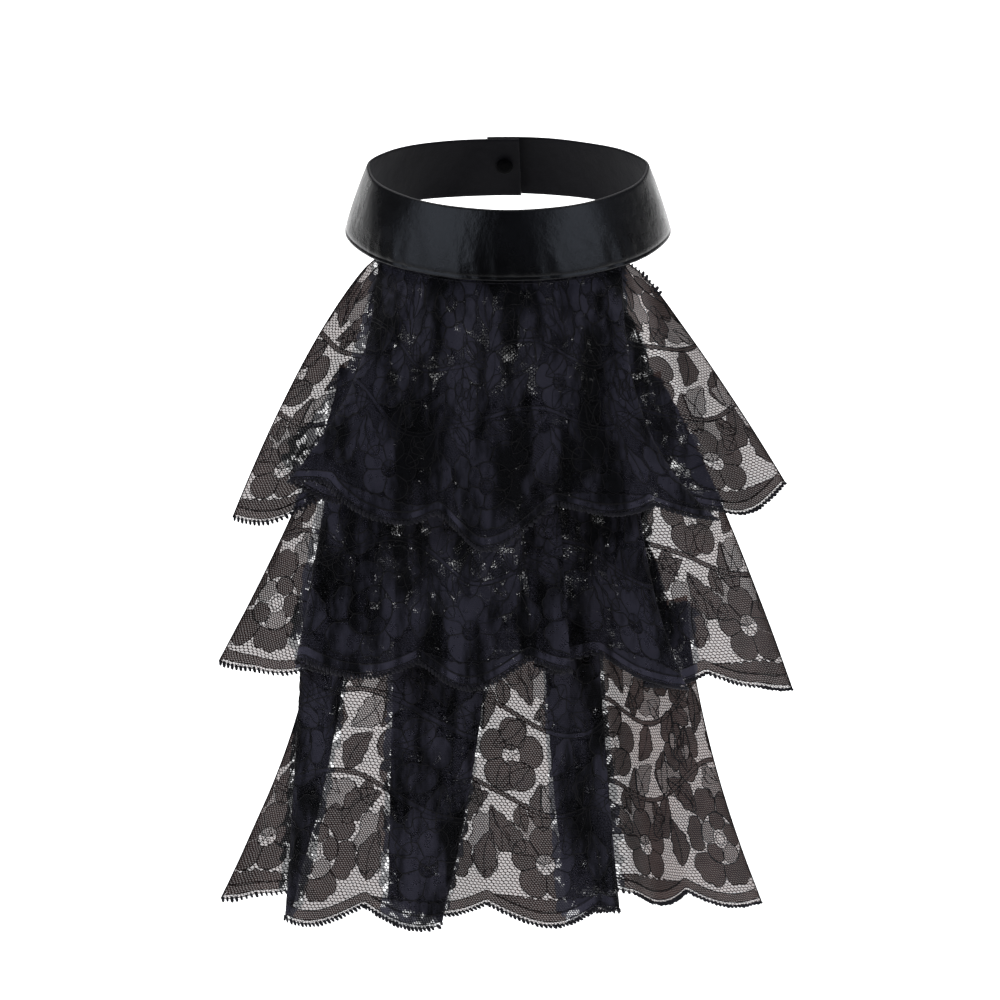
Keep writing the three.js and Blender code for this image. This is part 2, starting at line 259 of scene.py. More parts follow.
def laceMaterial(name):
    material, tree, shader = newMaterial(name, 0.85, 0.1)
    cell, thread, haze, seeThroughGlowTone, layerShadeTone = netKinds[name]
    net = groupNode(tree, hexNet, Flat=flatPlace(tree), Cell=cell, Thread=thread, Haze=haze,
                    Wobble=netLook["wobble"]).outputs
    place = objectPlace(tree)
    stack, crowd = attributeNode(tree, "stack"), attributeNode(tree, "crowd")
    # place for the painted fold shade
    foldShadePlace = mappingNode(tree, place, foldShade["stretch"])
    tones = {}
    # the stacked-layer tone carries painted shade, the other two carry painted see-through glow
    for tone, where, look, factor in (("deep", foldShadePlace, foldShade, layerShadeTone), ("thin", place, mottle, 1.0),
                                      ("haze", place, mottle, seeThroughGlowTone)):
        tones[tone] = groupNode(
            tree, fibreTone, Place=where, Scale=look["scale"], Low=look["from"][0], High=look["from"][1],
            Dark=toned(tone + "Dark", factor), Light=toned(tone + "Light", factor)).outputs["Color"]
    # painted light: one layer shows a brown glow through its threads and loose fibre; where layers stack,
    # painted shade takes over
    oneLayerGlowMix = colourMix(tree, net["Thread"], tones["haze"], tones["thin"])
    layerShadeShare = mathNode(tree, "MULTIPLY", stack, netLook["layerTurn"], clamp=True)
    feed(tree, shader["Base Color"], colourMix(tree, layerShadeShare, oneLayerGlowMix, tones["deep"]))
    glintPlace = mappingNode(tree, place, sparkle["stretch"])
    noise = noiseNode(tree, glintPlace, sparkle["scale"], Detail=sparkle["detail"])
    raised = mathNode(tree, "MULTIPLY_ADD", stack, sparkle["perLayer"], noise.outputs[0])
    dulled = mathNode(tree, "MULTIPLY_ADD", crowd, -sparkle["perCrowd"], sparkle["perCrowd"])
    spot = rangeNode(tree, mathNode(tree, "ADD", raised, dulled), *sparkle["from"], *sparkle["to"])
    power = mathNode(tree, "MULTIPLY", crowd, mathNode(tree, "MULTIPLY_ADD", layerShadeShare, spot, 1.0))
    clear = mathNode(tree, "POWER", mathNode(tree, "SUBTRACT", 1.0, net["Opacity"]), power)
    feed(tree, shader["Alpha"], mathNode(tree, "SUBTRACT", 1.0, clear))
    addBump(tree, shader, net["Height"], *netLook["bump"])
    return material


laceMaterials = [laceMaterial(name) for name in netKinds]


# roughness, specular level, scale of the mottle, darker and lighter tone
mottledLooks = {
    "laceThread": (0.7, 0.2, 260.0, (0.0026, 0.0023, 0.0028, 1), (0.0085, 0.0070, 0.0075, 1)),
    "laceLoop": (0.7, 0.2, 260.0, (0.0080, 0.0076, 0.0098, 1), (0.0200, 0.0185, 0.0240, 1)),
    "satinFace": (0.27, 0.27, 35.0, (0.0016, 0.0017, 0.0022, 1), (0.0034, 0.0036, 0.0050, 1)),
    "satinBack": (0.6, 0.1, 35.0, (0.0036, 0.0034, 0.0048, 1), (0.0085, 0.0080, 0.0100, 1)),
    "snapPlastic": (0.5, 0.03, 400.0, (0.0012, 0.0012, 0.0013, 1), (0.0024, 0.0024, 0.0025, 1)),
    "paleFloor": (0.9, 0.1, 3.0, (0.93, 0.93, 0.93, 1), (0.95, 0.95, 0.95, 1)),
}


def mottledMaterial(name):
    roughness, specular, scale, dark, light = mottledLooks[name]
    material, tree, shader = newMaterial(name, roughness, specular)
    tone = groupNode(tree, fibreTone, Place=objectPlace(tree), Scale=scale, Dark=dark, Light=light)
    feed(tree, shader["Base Color"], tone.outputs["Color"])
    return material, tree, shader, tone.outputs["Value"]


threadTwist = {"scale": 2600.0, "bump": (0.5, 0.0001)}


def threadMaterial(name):
    material, tree, shader, value = mottledMaterial(name)
    twist = noiseNode(tree, objectPlace(tree), threadTwist["scale"])
    addBump(tree, shader, twist.outputs[0], *threadTwist["bump"])
    return material


laceThread = threadMaterial("laceThread")
laceLoop = threadMaterial("laceLoop")

satinWeave = {
    "floats": (900.0, 5200.0, 1.0), "waves": 70.0, "bump": (0.35, 0.00012),
    "brushed": (230.0, 170.0, 1.0), "brushedTurn": 0.6, "brushedHeight": 5.0, "glossStray": (-0.05, 0.06),
}


def satinMaterial(name, waveHeight):
    material, tree, shader, value = mottledMaterial(name)
    flat = flatPlace(tree)
    warp = noiseNode(tree, mappingNode(tree, flat, satinWeave["floats"]), 1.0, "2D", Detail=2.0)
    waves = noiseNode(tree, objectPlace(tree), satinWeave["waves"])
    brushed = mappingNode(tree, flat, satinWeave["brushed"], satinWeave["brushedTurn"])
    feather = noiseNode(tree, brushed, 1.0, "2D", Detail=4.0, Roughness=0.6)
    height = mathNode(tree, "MULTIPLY_ADD", waves.outputs[0], waveHeight, warp.outputs[0])
    height = mathNode(tree, "MULTIPLY_ADD", feather.outputs[0], satinWeave["brushedHeight"], height)
    addBump(tree, shader, height, *satinWeave["bump"])
    gloss = [mottledLooks[name][0] + stray for stray in satinWeave["glossStray"]]
    feed(tree, shader["Roughness"], rangeNode(tree, value, 0.0, 1.0, *gloss, kind="LINEAR"))
    return material


satinFace = satinMaterial("satinFace", 3.0)
satinBack = satinMaterial("satinBack", 2.0)
snapBump = (0.3, 0.00006)


def snapMaterial():
    material, tree, shader, value = mottledMaterial("snapPlastic")
    addBump(tree, shader, value, *snapBump)
    return material


snapPlastic = snapMaterial()
print("stage: materials made")


def painted(tree, node, material):
    fed = {"Geometry": node.outputs[0], "Material": material}
    return newNode(tree, "GeometryNodeSetMaterial", fed).outputs[0]


def threadTree():
    tree, given, out = groupTree(
        "threadTubes", "GeometryNodeTree",
        {"Lines": "Geometry", "Radius": 0.0002, "Sides": 4, "Material": "Material"}, {"Threads": "Geometry"})
    curve = newNode(tree, "GeometryNodeMeshToCurve", {0: given["Lines"]})
    size = {"Radius": given["Radius"], "Resolution": given["Sides"]}
    profile = newNode(tree, "GeometryNodeCurvePrimitiveCircle", size)
    tube = newNode(tree, "GeometryNodeCurveToMesh", {
        "Curve": curve.outputs[0], "Profile Curve": profile.outputs["Curve"], "Fill Caps": True})
    feed(tree, out["Threads"], painted(tree, tube, given["Material"]))
    return tree


def loopTree():
    tree, given, out = groupTree(
        "loopRow", "GeometryNodeTree",
        {"Marks": "Geometry", "Shape": "Object", "Unevenness": 0.12, "Seed": 3, "Material": "Material"},
        {"Row": "Geometry"})
    points = newNode(tree, "GeometryNodeMeshToPoints", {0: given["Marks"]})
    shape = newNode(tree, "GeometryNodeObjectInfo", {0: given["Shape"]})
    way = {name: newNode(tree, "GeometryNodeInputNamedAttribute", {"Name": name}, data_type="FLOAT_VECTOR")
           for name in ("outward", "along")}
    axes = {0: way["outward"].outputs["Attribute"], 1: way["along"].outputs["Attribute"]}
    turn = newNode(tree, "FunctionNodeAxesToRotation", axes, primary_axis="Y", secondary_axis="X")
    chance = newNode(tree, "FunctionNodeRandomValue", {"Seed": given["Seed"]}, data_type="FLOAT")
    limits = [socket for socket in chance.inputs if socket.type == "VALUE"]
    feed(tree, limits[0], mathNode(tree, "SUBTRACT", 1.0, given["Unevenness"]))
    feed(tree, limits[1], mathNode(tree, "ADD", 1.0, given["Unevenness"]))
    size = [socket for socket in chance.outputs if socket.type == "VALUE"][0]
    instance = newNode(tree, "GeometryNodeInstanceOnPoints", {
        "Points": points.outputs[0], "Instance": shape.outputs["Geometry"],
        "Rotation": turn.outputs[0], "Scale": size})
    realize = newNode(tree, "GeometryNodeRealizeInstances", {0: instance.outputs[0]})
    feed(tree, out["Row"], painted(tree, realize, given["Material"]))
    return tree


threadTubes = threadTree()
loopRow = loopTree()


def madeByNodes(name, base, tree, values):
    source = objectFrom(name + "_source", base)
    modifier = source.modifiers.new("nodes", "NODES")
    modifier.node_group = tree
    for item in tree.interface.items_tree:
        if item.item_type == "SOCKET" and item.in_out == "INPUT" and item.name in values:
            modifier[item.identifier] = values[item.name]
    bpy.context.view_layer.update()
    mesh = bpy.data.meshes.new_from_object(source.evaluated_get(bpy.context.evaluated_depsgraph_get()))
    mesh.name = name
    bpy.data.objects.remove(source)
    mesh.polygons.foreach_set("use_smooth", [True] * len(mesh.polygons))
    return objectFrom(name, mesh)


def threadPiece(name, lines, radius, sides):
    points, edges = [], []
    for line in lines:
        first = len(points)
        points.extend(line)
        edges.extend((first + k, first + k + 1) for k in range(len(line) - 1))
    base = meshFrom(name + "_lines", points, edges=edges)
    values = {"Radius": radius * mm, "Sides": sides, "Material": laceThread}
    return madeByNodes(name, base, threadTubes, values)


def rowPiece(name, places, along, outward, shape, unevenness, seed):
    base = meshFrom(name + "_marks", places)
    for key, vectors in (("along", along), ("outward", outward)):
        layer = base.attributes.new(key, "FLOAT_VECTOR", "POINT")
        layer.data.foreach_set("vector", np.asarray(vectors, float).ravel())
    values = {"Shape": shape, "Unevenness": unevenness, "Seed": seed, "Material": laceLoop}
    return madeByNodes(name, base, loopRow, values)


pitch = 47.0
scallopDepth = 6.8
laceHeight = 104.0  # from a ruffle's seam to its hem line

backing = {
    # height, left and right edge, front depth, bend radius, depth of the bend
    "rows": [
        (-6, -42, 38, -53.2, 54.3, 1.2), (-13, -45, 41, -55.6, 56.7, 1.19), (-36, -56, 49, -57.5, 62, 1.1),
        (-63, -63, 55, -58.5, 72, 1), (-110, -64, 56, -60.5, 90, 1), (-161, -62, 61, -63, 108, 1)],
    "top": -6.0, "foot": -161.0, "flatWidth": 120.0, "design": 41.0,
}


def scallopCut(place):
    return scallopDepth * (1 - np.sin(np.pi * np.mod(place, pitch) / pitch))


def carrierAt(z):
    heights = [-row[0] for row in backing["rows"]]
    down = -np.asarray(z, float)
    return [np.interp(down, heights, [row[k] for row in backing["rows"]]) for k in range(1, 6)]


def bendX(x, radius):
    blend = 3
    start = 0.92 * radius - blend
    past = np.clip(np.abs(x) - start, 0, 2 * blend)
    return np.minimum(np.abs(x), start) + past - past ** 2 / (4 * blend)


def depthFromLift(x, z, lift):
    front, radius, deepen = carrierAt(z)[2:]
    return front + deepen * (radius - np.sqrt((radius + lift) ** 2 - bendX(x, radius) ** 2))


def liftFromDepth(x, z, y):
    front, radius, deepen = carrierAt(z)[2:]
    return np.hypot(bendX(x, radius), (front - y) / deepen + radius) - radius


# place along the lace; head x and layer at the seam; hem x, y, z; ease: how late the fold line swings out
topFolds = [
    (0, -48.5, 0, -107.5, -46, -115, .62), (20, -43, 0, -87, -54, -111, .8),
    (40, -34, 0, -67, -60, -103, 1), (48, -34, 1, -66, -67, -101, 1), (64, -45.5, 1, -80, -69, -93, 2),
    (72, -45.5, 2, -83, -76, -90, 2), (94, -36, 2, -62, -81, -97, 1.7), (118, -26, 2, -39, -88, -103, 1),
    (132, -18, 2, -25, -89, -103, .8), (155, -7, 2, -7, -100, -108, .7), (178, 6, 2, 20, -82, -101, .8),
    (202, 18, 2, 41, -79, -101, 1), (226, 30, 2, 61, -78, -103, 1.8), (240, 40, 2, 78, -74, -105, 2.6),
    (247, 40, 1, 79, -67, -106, 2.6), (262, 29, 1, 65, -62, -105, 2), (269, 29, 0, 64, -55, -106, 2),
    (294, 38, 0, 89, -50, -110, .85), (318, 44.5, 0, 111, -44, -105, .78)]
middleFolds = [
    (0, -64, 0, -114, -47, -174, 1.3), (32, -53, 0, -81, -56, -178, 1.2),
    (48, -42, 0, -61, -62, -171, 1.2), (56, -42, 1, -60, -69, -169, 1.2),
    (74, -61, 1, -79, -72, -168, 1.3), (82, -61, 2, -80, -80, -166, 1.3),
    (104, -42, 2, -57, -84, -165, 1.2), (129, -25, 2, -35, -86, -165, 1),
    (153, -13, 2, -14, -94, -166, .8), (176, 1, 2, 9, -88, -163, .8), (190, 15, 2, 22, -90, -161, 1),
    (196, 15, 1, 22, -84, -163, 1), (206, 4, 1, 13, -81, -163, 1), (212, 4, 0, 13, -75, -165, 1),
    (224, 20, 0, 38, -77, -165, 1), (246, 35, 2, 54, -82, -167, 1.6), (262, 45, 2, 69, -79, -175, 2.4),
    (270, 45, 1, 70, -72, -179, 2.4), (286, 33, 1, 56, -68, -175, 1.8), (294, 33, 0, 56, -61, -177, 1.6),
    (322, 50, 0, 85, -55, -181, .9), (350, 58, 0, 112, -46, -185, .8)]
bottomFolds = [
    (0, -73, 0, -114, -46, -273, 1.6), (24, -61, 0, -87, -52, -270, 1.5),
    (31, -61, 1, -85, -58, -269, 1.5), (38, -76, 1, -85, -64, -272, 1.6),
    (45, -76, 2, -86, -72, -272, 1.6), (78, -44, 2, -57, -82, -268, 1.4),
    (109, -8, 2, -29, -86, -269, 1.4), (115, -8, 1, -29, -79, -269, 1.4),
    (127, -42, 1, -44, -72, -269, 1.4), (133, -42, 0, -44, -65, -268, 1.4),
    (172, -10, 0, -8, -74, -270, 1.3), (200, 14, 2, 21, -79, -270, 1.3), (224, 33, 2, 41, -76, -270, 1.5),
    (231, 33, 1, 42, -69, -269, 1.5), (252, 15, 1, 26, -67, -267, 1.5), (259, 15, 0, 26, -61, -267, 1.5),
    (276, 36, 0, 50, -56, -268, 1.5), (290, 44, 0, 59, -63, -267, 1.5), (313, 55, 0, 72, -61, -270, 1.5),
    (346, 69, 0, 101, -50, -273, 1.55)]

ruffles = {
    "ruffle_top": {
        "folds": topFolds, "seam": -14.4, "allowance": 7.0, "wave": 2.2, "wavelength": 15.0, "cusp": 36.0,
        "design": 36.0, "fan": 0.95, "seed": 2, "headerLoops": True, "carrier": "neck_band_satin"},
    "ruffle_middle": {
        "folds": middleFolds, "seam": -63.0, "allowance": 4.0, "wave": 2.4, "wavelength": 16.0, "cusp": 35.0,
        "design": 82.0, "fan": 0.55, "seed": 5, "headerLoops": False, "carrier": "lace_backing_cloth"},
    "ruffle_bottom": {
        "folds": bottomFolds, "seam": -152.0, "allowance": 4.0, "wave": 1.6, "wavelength": 17.0, "cusp": 31.0,
        "design": 31.0, "fan": 0.42, "seed": 9, "headerLoops": False, "carrier": "lace_backing_cloth"},
}
layers = {"seat": 1.62, "step": 1.6}  # first layer over the backing, and each further one
# depth, length and seed of the gathers, where they come in and fade under the seam, and the share that fades
gathers = {
    "main": ("wave", "wavelength", 0, (0, 14), (20, 66), 1.0),
    "fine": (0.7, 5.3, 4, (0, 5), (14, 44), 1.0),
    "long": (2.0, 21.0, 7, (16, 60), (80, 115), 0.5),
}


def easeOf(share, power):
    soft = 0.04
    raw = (share + soft) ** power
    return (raw - soft ** power) / ((1 + soft) ** power - soft ** power)


def ruffleGrid(spec):
    folds = np.array(spec["folds"], float)
    flat, headX, layer, hemX, hemY, hemZ, ease = folds.T
    across = np.arange(0, flat[-1] + 0.5, 1.0)
    up = np.arange(-8, laceHeight + spec["allowance"] + 2.1, 2.0)
    hemLift = liftFromDepth(hemX, hemZ, hemY)
    grid = np.zeros((len(across), len(up), 3))
    k = np.clip(np.searchsorted(flat, across, side="right") - 1, 0, len(flat) - 2)
    t = ((across - flat[k]) / (flat[k + 1] - flat[k]))[:, None]
    for j, height in enumerate(up):
        share = 1 - height / laceHeight
        drop = share * (spec["seam"] - hemZ) if share > 0 else np.full(len(flat), share * laceHeight)
        z = spec["seam"] - drop
        seat = layers["seat"] + layers["step"] * layer
        reach = max(share, 0)
        head = headX * (1 + seat / carrierAt(z)[3])
        points = columns(
            head + (hemX - head) * easeOf(reach, ease),
            seat + (hemLift - seat) * easeOf(reach, 0.75), z)
        runs = points[1:] - points[:-1]
        lengths = np.hypot(runs[:, 0], runs[:, 1])[:, None]
        before = np.vstack([runs[:1] * lengths[:1], runs * lengths])
        after = np.vstack([runs * lengths, runs[-1:] * lengths[-1:]])
        tangents = before + after
        tangents /= np.linalg.norm(tangents, axis=1)[:, None]
        turn = 1.5 - 0.5 * (tangents[:-1] * tangents[1:]).sum(1)
        pull = (np.linalg.norm(runs, axis=1) * turn)[k][:, None]
        grid[:, j] = (points[k] * (1 + 2 * t) * (1 - t) ** 2 + points[k + 1] * t * t * (3 - 2 * t)
                      + tangents[k] * pull * t * (1 - t) ** 2 + tangents[k + 1] * pull * t * t * (t - 1))
    return across, up, grid


def unevenWave(place, wavelength, seed):
    turns = place / wavelength
    drift = 0.9 * np.sin(turns * 0.83 + seed) + 0.6 * np.sin(turns * 1.71 + 2.3 * seed)
    height = 0.72 + 0.28 * np.sin(turns * 1.27 + 1.7 * seed)
    return height * 0.5 * (1 - np.cos(2 * np.pi * place / wavelength + drift))


def gatherDepth(spec, x, z, share):
    drop = spec["seam"] - z
    place = x / (1 + spec["fan"] * np.clip(share, 0, 1))  # the creases fan out as they run down
    depth = 0
    for height, length, seed, rise, fade, faded in gathers.values():
        reach = spec.get(height, height) * smoothstep(drop, *rise) * (1 - faded * smoothstep(drop, *fade))
        depth = depth + reach * unevenWave(place, spec.get(length, length), spec["seed"] + seed)
    return depth


def bilinear(grid, across, up, u, w):
    s = np.clip((u - across[0]) / (across[1] - across[0]), 0, len(across) - 1.000001)
    t = np.clip((w - up[0]) / (up[1] - up[0]), 0, len(up) - 1.000001)
    i, j = s.astype(int), t.astype(int)
    a, b = (s - i)[:, None], (t - j)[:, None]
    return ((1 - a) * (1 - b) * grid[i, j] + a * (1 - b) * grid[i + 1, j]
            + (1 - a) * b * grid[i, j + 1] + a * b * grid[i + 1, j + 1])


def ruffleSurface(spec):
    across, up, grid = ruffleGrid(spec)

    def place(flatPoints):
        flatPoints = np.asarray(flatPoints, float)
        x, lift, z = bilinear(grid, across, up, flatPoints[:, 0], flatPoints[:, 1]).T
        share = 1 - flatPoints[:, 1] / laceHeight
        y = depthFromLift(x, z, lift) - gatherDepth(spec, x, z, share)
        return columns(x, y, z)

    return place


def backingSurface(flatPoints):
    down, across = np.asarray(flatPoints, float).T
    z = backing["top"] - down
    left, right = carrierAt(z)[:2]
    cutLeft, cutRight = scallopCut(z), scallopCut(z + pitch / 2)
    share = (across - cutLeft) / (backing["flatWidth"] - cutLeft - cutRight)
    x = left + cutLeft + share * (right - cutRight - left - cutLeft)
    ripple = 0.35 * np.sin(x / 5.1 + z / 19.0) * (1 - smoothstep(-z, 20, 60))
    ripple += 0.25 * np.sin(x / 9.7 - z / 31.0)
    y = depthFromLift(x, z, 0) - ripple * 0.6
    return columns(x, y, z)


design = {
    "repeat": 94.0, "width": 120.0, "edgeGap": 1.4, "edgeBand": 3.3, "step": 1.3,
    "rosePetals": 0.54, "roseHeart": (0.2, 0.53), "roseEye": 0.13, "flowerHeart": 0.3, "petalGap": 0.006,
    "stemHeight": 46.0, "stemSwing": 7.0, "stemStart": 8.0, "stemWidth": 1.6, "leafEvery": 9.4,
    "swagFrom": 50.0, "swagLength": 41.0, "swagHeight": 4.6,
    "clouds": [  # centre, half width, half height, lobes, turn
        ((70.5, 31.0), 15.0, 8.0, 7, 0.4), ((47.0, 29.0), 6.5, 11.0, 6, 1.1),
        ((31.0, 45.0), 9.0, 5.5, 6, 2.0), ((0.5, 47.0), 8.0, 6.0, 5, 0.2)],
    "leaves": [  # centre, angle, length, width, bend
        ((48.2, 24.5), 1.42, 18, 9.6, 0.10), ((-1.2, 24.5), 1.74, 18, 9.6, -0.10),
        ((56.0, 34.0), 2.25, 21, 10.4, 0.12), ((85.0, 34.0), 0.90, 21, 10.4, -0.12),
        ((70.5, 42.5), 1.57, 17, 9.6, 0.04), ((41.5, 41.0), 0.65, 19, 9.6, 0.12),
        ((6.5, 41.5), 2.50, 19, 9.6, -0.12)],
    # centre, radius, turn, petals
    "roses": [((23.5, 25.0), 17.6, 0.3, 6)], "flowers": [((70.5, 22.0), 12.6, 1.57, 5)],
    "middleRoses": [((12.0, 60.0), 12.6, 0.6, 5)], "middleFlowers": [((58.5, 60.0), 12.6, 0.2, 5)],
}


def turned(points, angle):
    return points @ np.array([[math.cos(angle), math.sin(angle)], [-math.sin(angle), math.cos(angle)]])


def leafShape(centre, angle, length, width, bend):
    t = np.linspace(0, 1, max(12, int(length / design["step"] * 1.2)))
    arch = np.sin(np.pi * t)
    half = 0.5 * width * arch ** 0.75 * (1 + 0.3 * np.cos(np.pi * t))
    half *= 1 + 0.1 * np.sin(length * 0.42 * np.pi * t)
    along, middle = (t - 0.5) * length, bend * length * arch
    upper, lower = columns(along, middle + half), columns(along, middle - half)
    outline = np.concatenate([upper, lower[-2:0:-1]])
    vein = columns(along, middle)[1:-1]
    return turned(outline, angle) + centre, turned(vein, angle) + centre


def petalShape(centre, inner, outer, start, end, lobes):
    count = max(7, int(outer * (end - start) / design["step"]))
    angles = np.linspace(start, end, count)
    share = (angles - start) / (end - start)
    wide = outer * (1 - 0.2 * np.abs(2 * share - 1) ** 3 + 0.07 * np.abs(np.sin(lobes * np.pi * share)))
    rim = columns(wide * np.cos(angles), wide * np.sin(angles))
    base = columns(inner * np.cos(angles), inner * np.sin(angles))[::-1]
    base = base[::max(1, count // 4)]
    return np.concatenate([rim, base]) + centre


def roseShapes(centre, radius, turn, petals):
    shapes = []
    gap = design["petalGap"]
    for k in range(petals):
        start = turn + 2 * np.pi * k / petals
        end = start + 2 * np.pi / petals
        size = radius * (1 + 0.08 * math.sin(2.4 * k + turn))
        outline = petalShape(centre, radius * design["rosePetals"], size, start + gap, end - gap, 3)
        shapes.append(("fill", outline))
    inner, outer = design["roseHeart"]
    for k in range(5):
        start = turn + 0.5 + 2 * np.pi * k / 5
        end = start + 2 * np.pi / 5
        kind = "light" if k % 2 else "fill"
        shapes.append((kind, petalShape(centre, radius * inner, radius * outer, start + 0.01, end - 0.01, 1)))
    ring = np.linspace(0, 2 * np.pi, 15)
    return shapes, [columns(np.cos(ring), np.sin(ring)) * radius * design["roseEye"] + centre]


def flowerShapes(centre, radius, turn, petals):
    shapes, lines = [], []
    heart, half = design["flowerHeart"], np.pi / petals * 0.985
    for k in range(petals):
        middle = turn + 2 * np.pi * k / petals
        shapes.append(("fill", petalShape(centre, radius * heart, radius, middle - half, middle + half, 1)))
        lines.append(turned(np.array([[0.05, 0], [heart, 0]]) * radius, middle) + centre)
    return shapes, lines


def cloudShape(centre, wide, high, lobes, turn):
    angles = np.linspace(0, 2 * np.pi, int((wide + high) * 2.6))[:-1]
    swell = 1 + 0.1 * np.sin(lobes * angles + turn) + 0.07 * np.sin((lobes + 3) * angles - 2 * turn)
    return columns(wide * swell * np.cos(angles), high * swell * np.sin(angles)) + centre


def stripShape(line, width):
    direction = np.gradient(line, axis=0)
    direction /= np.linalg.norm(direction, axis=1)[:, None]
    side = columns(-direction[:, 1], direction[:, 0]) * width / 2
    return np.concatenate([line + side, (line - side)[::-1]])


def addBlooms(shapes, lines, roses, flowers):
    for makeShapes, blooms in ((roseShapes, roses), (flowerShapes, flowers)):
        for centre, *look in blooms:
            made, more = makeShapes(np.array(centre), *look)
            shapes += made
            lines += more


def addLeaf(shapes, lines, kind, *look):
    outline, vein = leafShape(*look)
    shapes.append((kind, outline))
    lines.append(vein)


def addStem(shapes, lines):
    along = np.linspace(0, design["repeat"], 72)
    height, swing = design["stemHeight"], design["stemSwing"]
    wave = np.sin(2 * np.pi * (along - design["stemStart"]) / design["repeat"])
    shapes.append(("stem", stripShape(columns(along, height + swing * wave), design["stemWidth"])))
    for k in range(int(design["repeat"] / design["leafEvery"])):
        u = (k + 0.5) * design["leafEvery"]
        phase = 2 * np.pi * (u - design["stemStart"]) / design["repeat"]
        slope = 2 * np.pi / design["repeat"] * swing * math.cos(phase)
        side = 1 if k % 2 else -1
        angle = math.atan(slope) + side * (0.95 + 0.15 * math.sin(3.1 * k))
        length, width = (16.5, 9.0) if side > 0 else (10.0, 6.0)
        reach = np.array([math.cos(angle), math.sin(angle)]) * (length / 2 + 0.8)
        centre = np.array([u, height + swing * math.sin(phase)]) + reach
        addLeaf(shapes, lines, "light" if k % 5 == 2 else "fill", centre, angle, length, width, 0.1 * side)


def swagShape():  # the filled arc over each second scallop
    along = np.linspace(design["swagFrom"], design["swagFrom"] + design["swagLength"], 32)
    low = scallopCut(along) + design["edgeGap"] + design["edgeBand"]
    arch = np.sin(np.pi * (along - design["swagFrom"]) / design["swagLength"])
    swell = design["swagHeight"] * arch * (1 + 0.12 * np.sin(along * 1.6)) + 0.05
    return np.concatenate([columns(along, low - 0.4), columns(along, low + swell)[::-1]])


def fullDesign():
    shapes = [("light", cloudShape(np.array(centre), *look)) for centre, *look in design["clouds"]]
    lines = []
    addBlooms(shapes, lines, design["roses"], design["flowers"])
    for centre, *look in design["leaves"]:
        addLeaf(shapes, lines, "fill", np.array(centre), *look)
    shapes.append(("fill", swagShape()))
    addStem(shapes, lines)
    corner = np.array([design["repeat"] + pitch / 2, design["width"]])  # upper half: the lower one turned
    shapes += [(kind, corner - outline) for kind, outline in shapes]
    lines += [corner - line for line in lines]
    addBlooms(shapes, lines, design["middleRoses"], design["middleFlowers"])
    return shapes, lines


designShapes, designLines = fullDesign()


def repeated(start, end, shift):
    shapes, lines = [], []
    first = int(math.floor((start - shift) / design["repeat"])) - 1
    for n in range(first, int(math.ceil((end - shift) / design["repeat"])) + 2):
        step = np.array([shift + n * design["repeat"], 0.0])
        shapes += [(kind, outline + step) for kind, outline in designShapes]
        lines += [line + step for line in designLines]

    def reached(line):
        return line[:, 0].max() > start and line[:, 0].min() < end

    return [shape for shape in shapes if reached(shape[1])], [line for line in lines if reached(line)]


kinds = {"net": 0, "fill": 1, "light": 2, "border": 3, "stem": 1, "ladder": 4}  # numbers of the lace materials
edgeOffsets = (0.0, design["edgeGap"], design["edgeGap"] + design["edgeBand"])
mesher = {
    "edgeStep": 1.4, "endPoints": 32, "grid": 2.1, "stray": 0.3, "clear": 0.7, "near": 1.1, "seed": 4,
    "leastArea": 1e-5, "longestSide": 7.0,  # slivers that span two scallops are dropped
}


def edgeSteps(length):
    return np.linspace(0, length, int(length / mesher["edgeStep"]) + 1)


def acrossLine(u, start, end, count):  # straight over the lace
    return columns(np.full(count, u), np.linspace(start, end, count))


def flatFaces(length, lowEdge, highEdge, bands, shapes):
    points, edges = [], []

    def addLine(line, closed):
        first, count = len(points), len(line)
        points.extend(line.tolist())
        edges.extend((first + k, first + (k + 1) % count) for k in range(count if closed else count - 1))

    along = edgeSteps(length)
    low, high = lowEdge(along), highEdge(along)
    ends = [acrossLine(u, low[k], high[k], mesher["endPoints"])[1:-1] for u, k in ((length, -1), (0.0, 0))]
    addLine(np.concatenate([
        columns(along, low), ends[0], columns(along, high)[::-1], ends[1][::-1]]), True)
    inner = along[1:-1]
    for edge, side in bands:
        for offset in edgeOffsets[1:]:
            addLine(columns(inner, edge(inner) + side * offset), False)
    for kind, outline in shapes:
        addLine(outline, True)
    grid, stray, clear, near = (mesher[key] for key in ("grid", "stray", "clear", "near"))
    gridU, gridW = np.meshgrid(
        np.arange(1.0, length - 0.5, grid), np.arange(-1.0, high.max() + 1, grid), indexing="ij")
    strays = np.random.default_rng(mesher["seed"]).uniform(-stray, stray, (gridU.size, 2))
    fill = columns(gridU.ravel(), gridW.ravel()) + strays
    keep = (fill[:, 1] > lowEdge(fill[:, 0]) + clear) & (fill[:, 1] < highEdge(fill[:, 0]) - clear)
    taken = {(round(u / near), round(w / near)) for u, w in points}
    points += [p for p in fill[keep].tolist() if (round(p[0] / near), round(p[1] / near)) not in taken]
    flat, _, faces, _, _, _ = delaunay_2d_cdt([Vector(p) for p in points], edges, [], 0, 1e-5)
    flat = np.array([tuple(v) for v in flat])
    faces = np.array([tuple(f) for f in faces])
    corners = flat[faces]
    middles = corners.mean(1)
    sides = corners[:, 1:] - corners[:, :1]
    area = np.abs(sides[:, 0, 0] * sides[:, 1, 1] - sides[:, 0, 1] * sides[:, 1, 0]) / 2
    longest = np.linalg.norm(corners - np.roll(corners, 1, axis=1), axis=2).max(1)
    keep = ((middles[:, 0] > 0) & (middles[:, 0] < length) & (middles[:, 1] > lowEdge(middles[:, 0]) - 0.02)
            & (middles[:, 1] < highEdge(middles[:, 0]) + 0.02)
            & (area > mesher["leastArea"]) & (longest < mesher["longestSide"]))
    used, index = np.unique(faces[keep], return_inverse=True)
    return flat[used], index.reshape(-1, 3), middles[keep], area[keep]


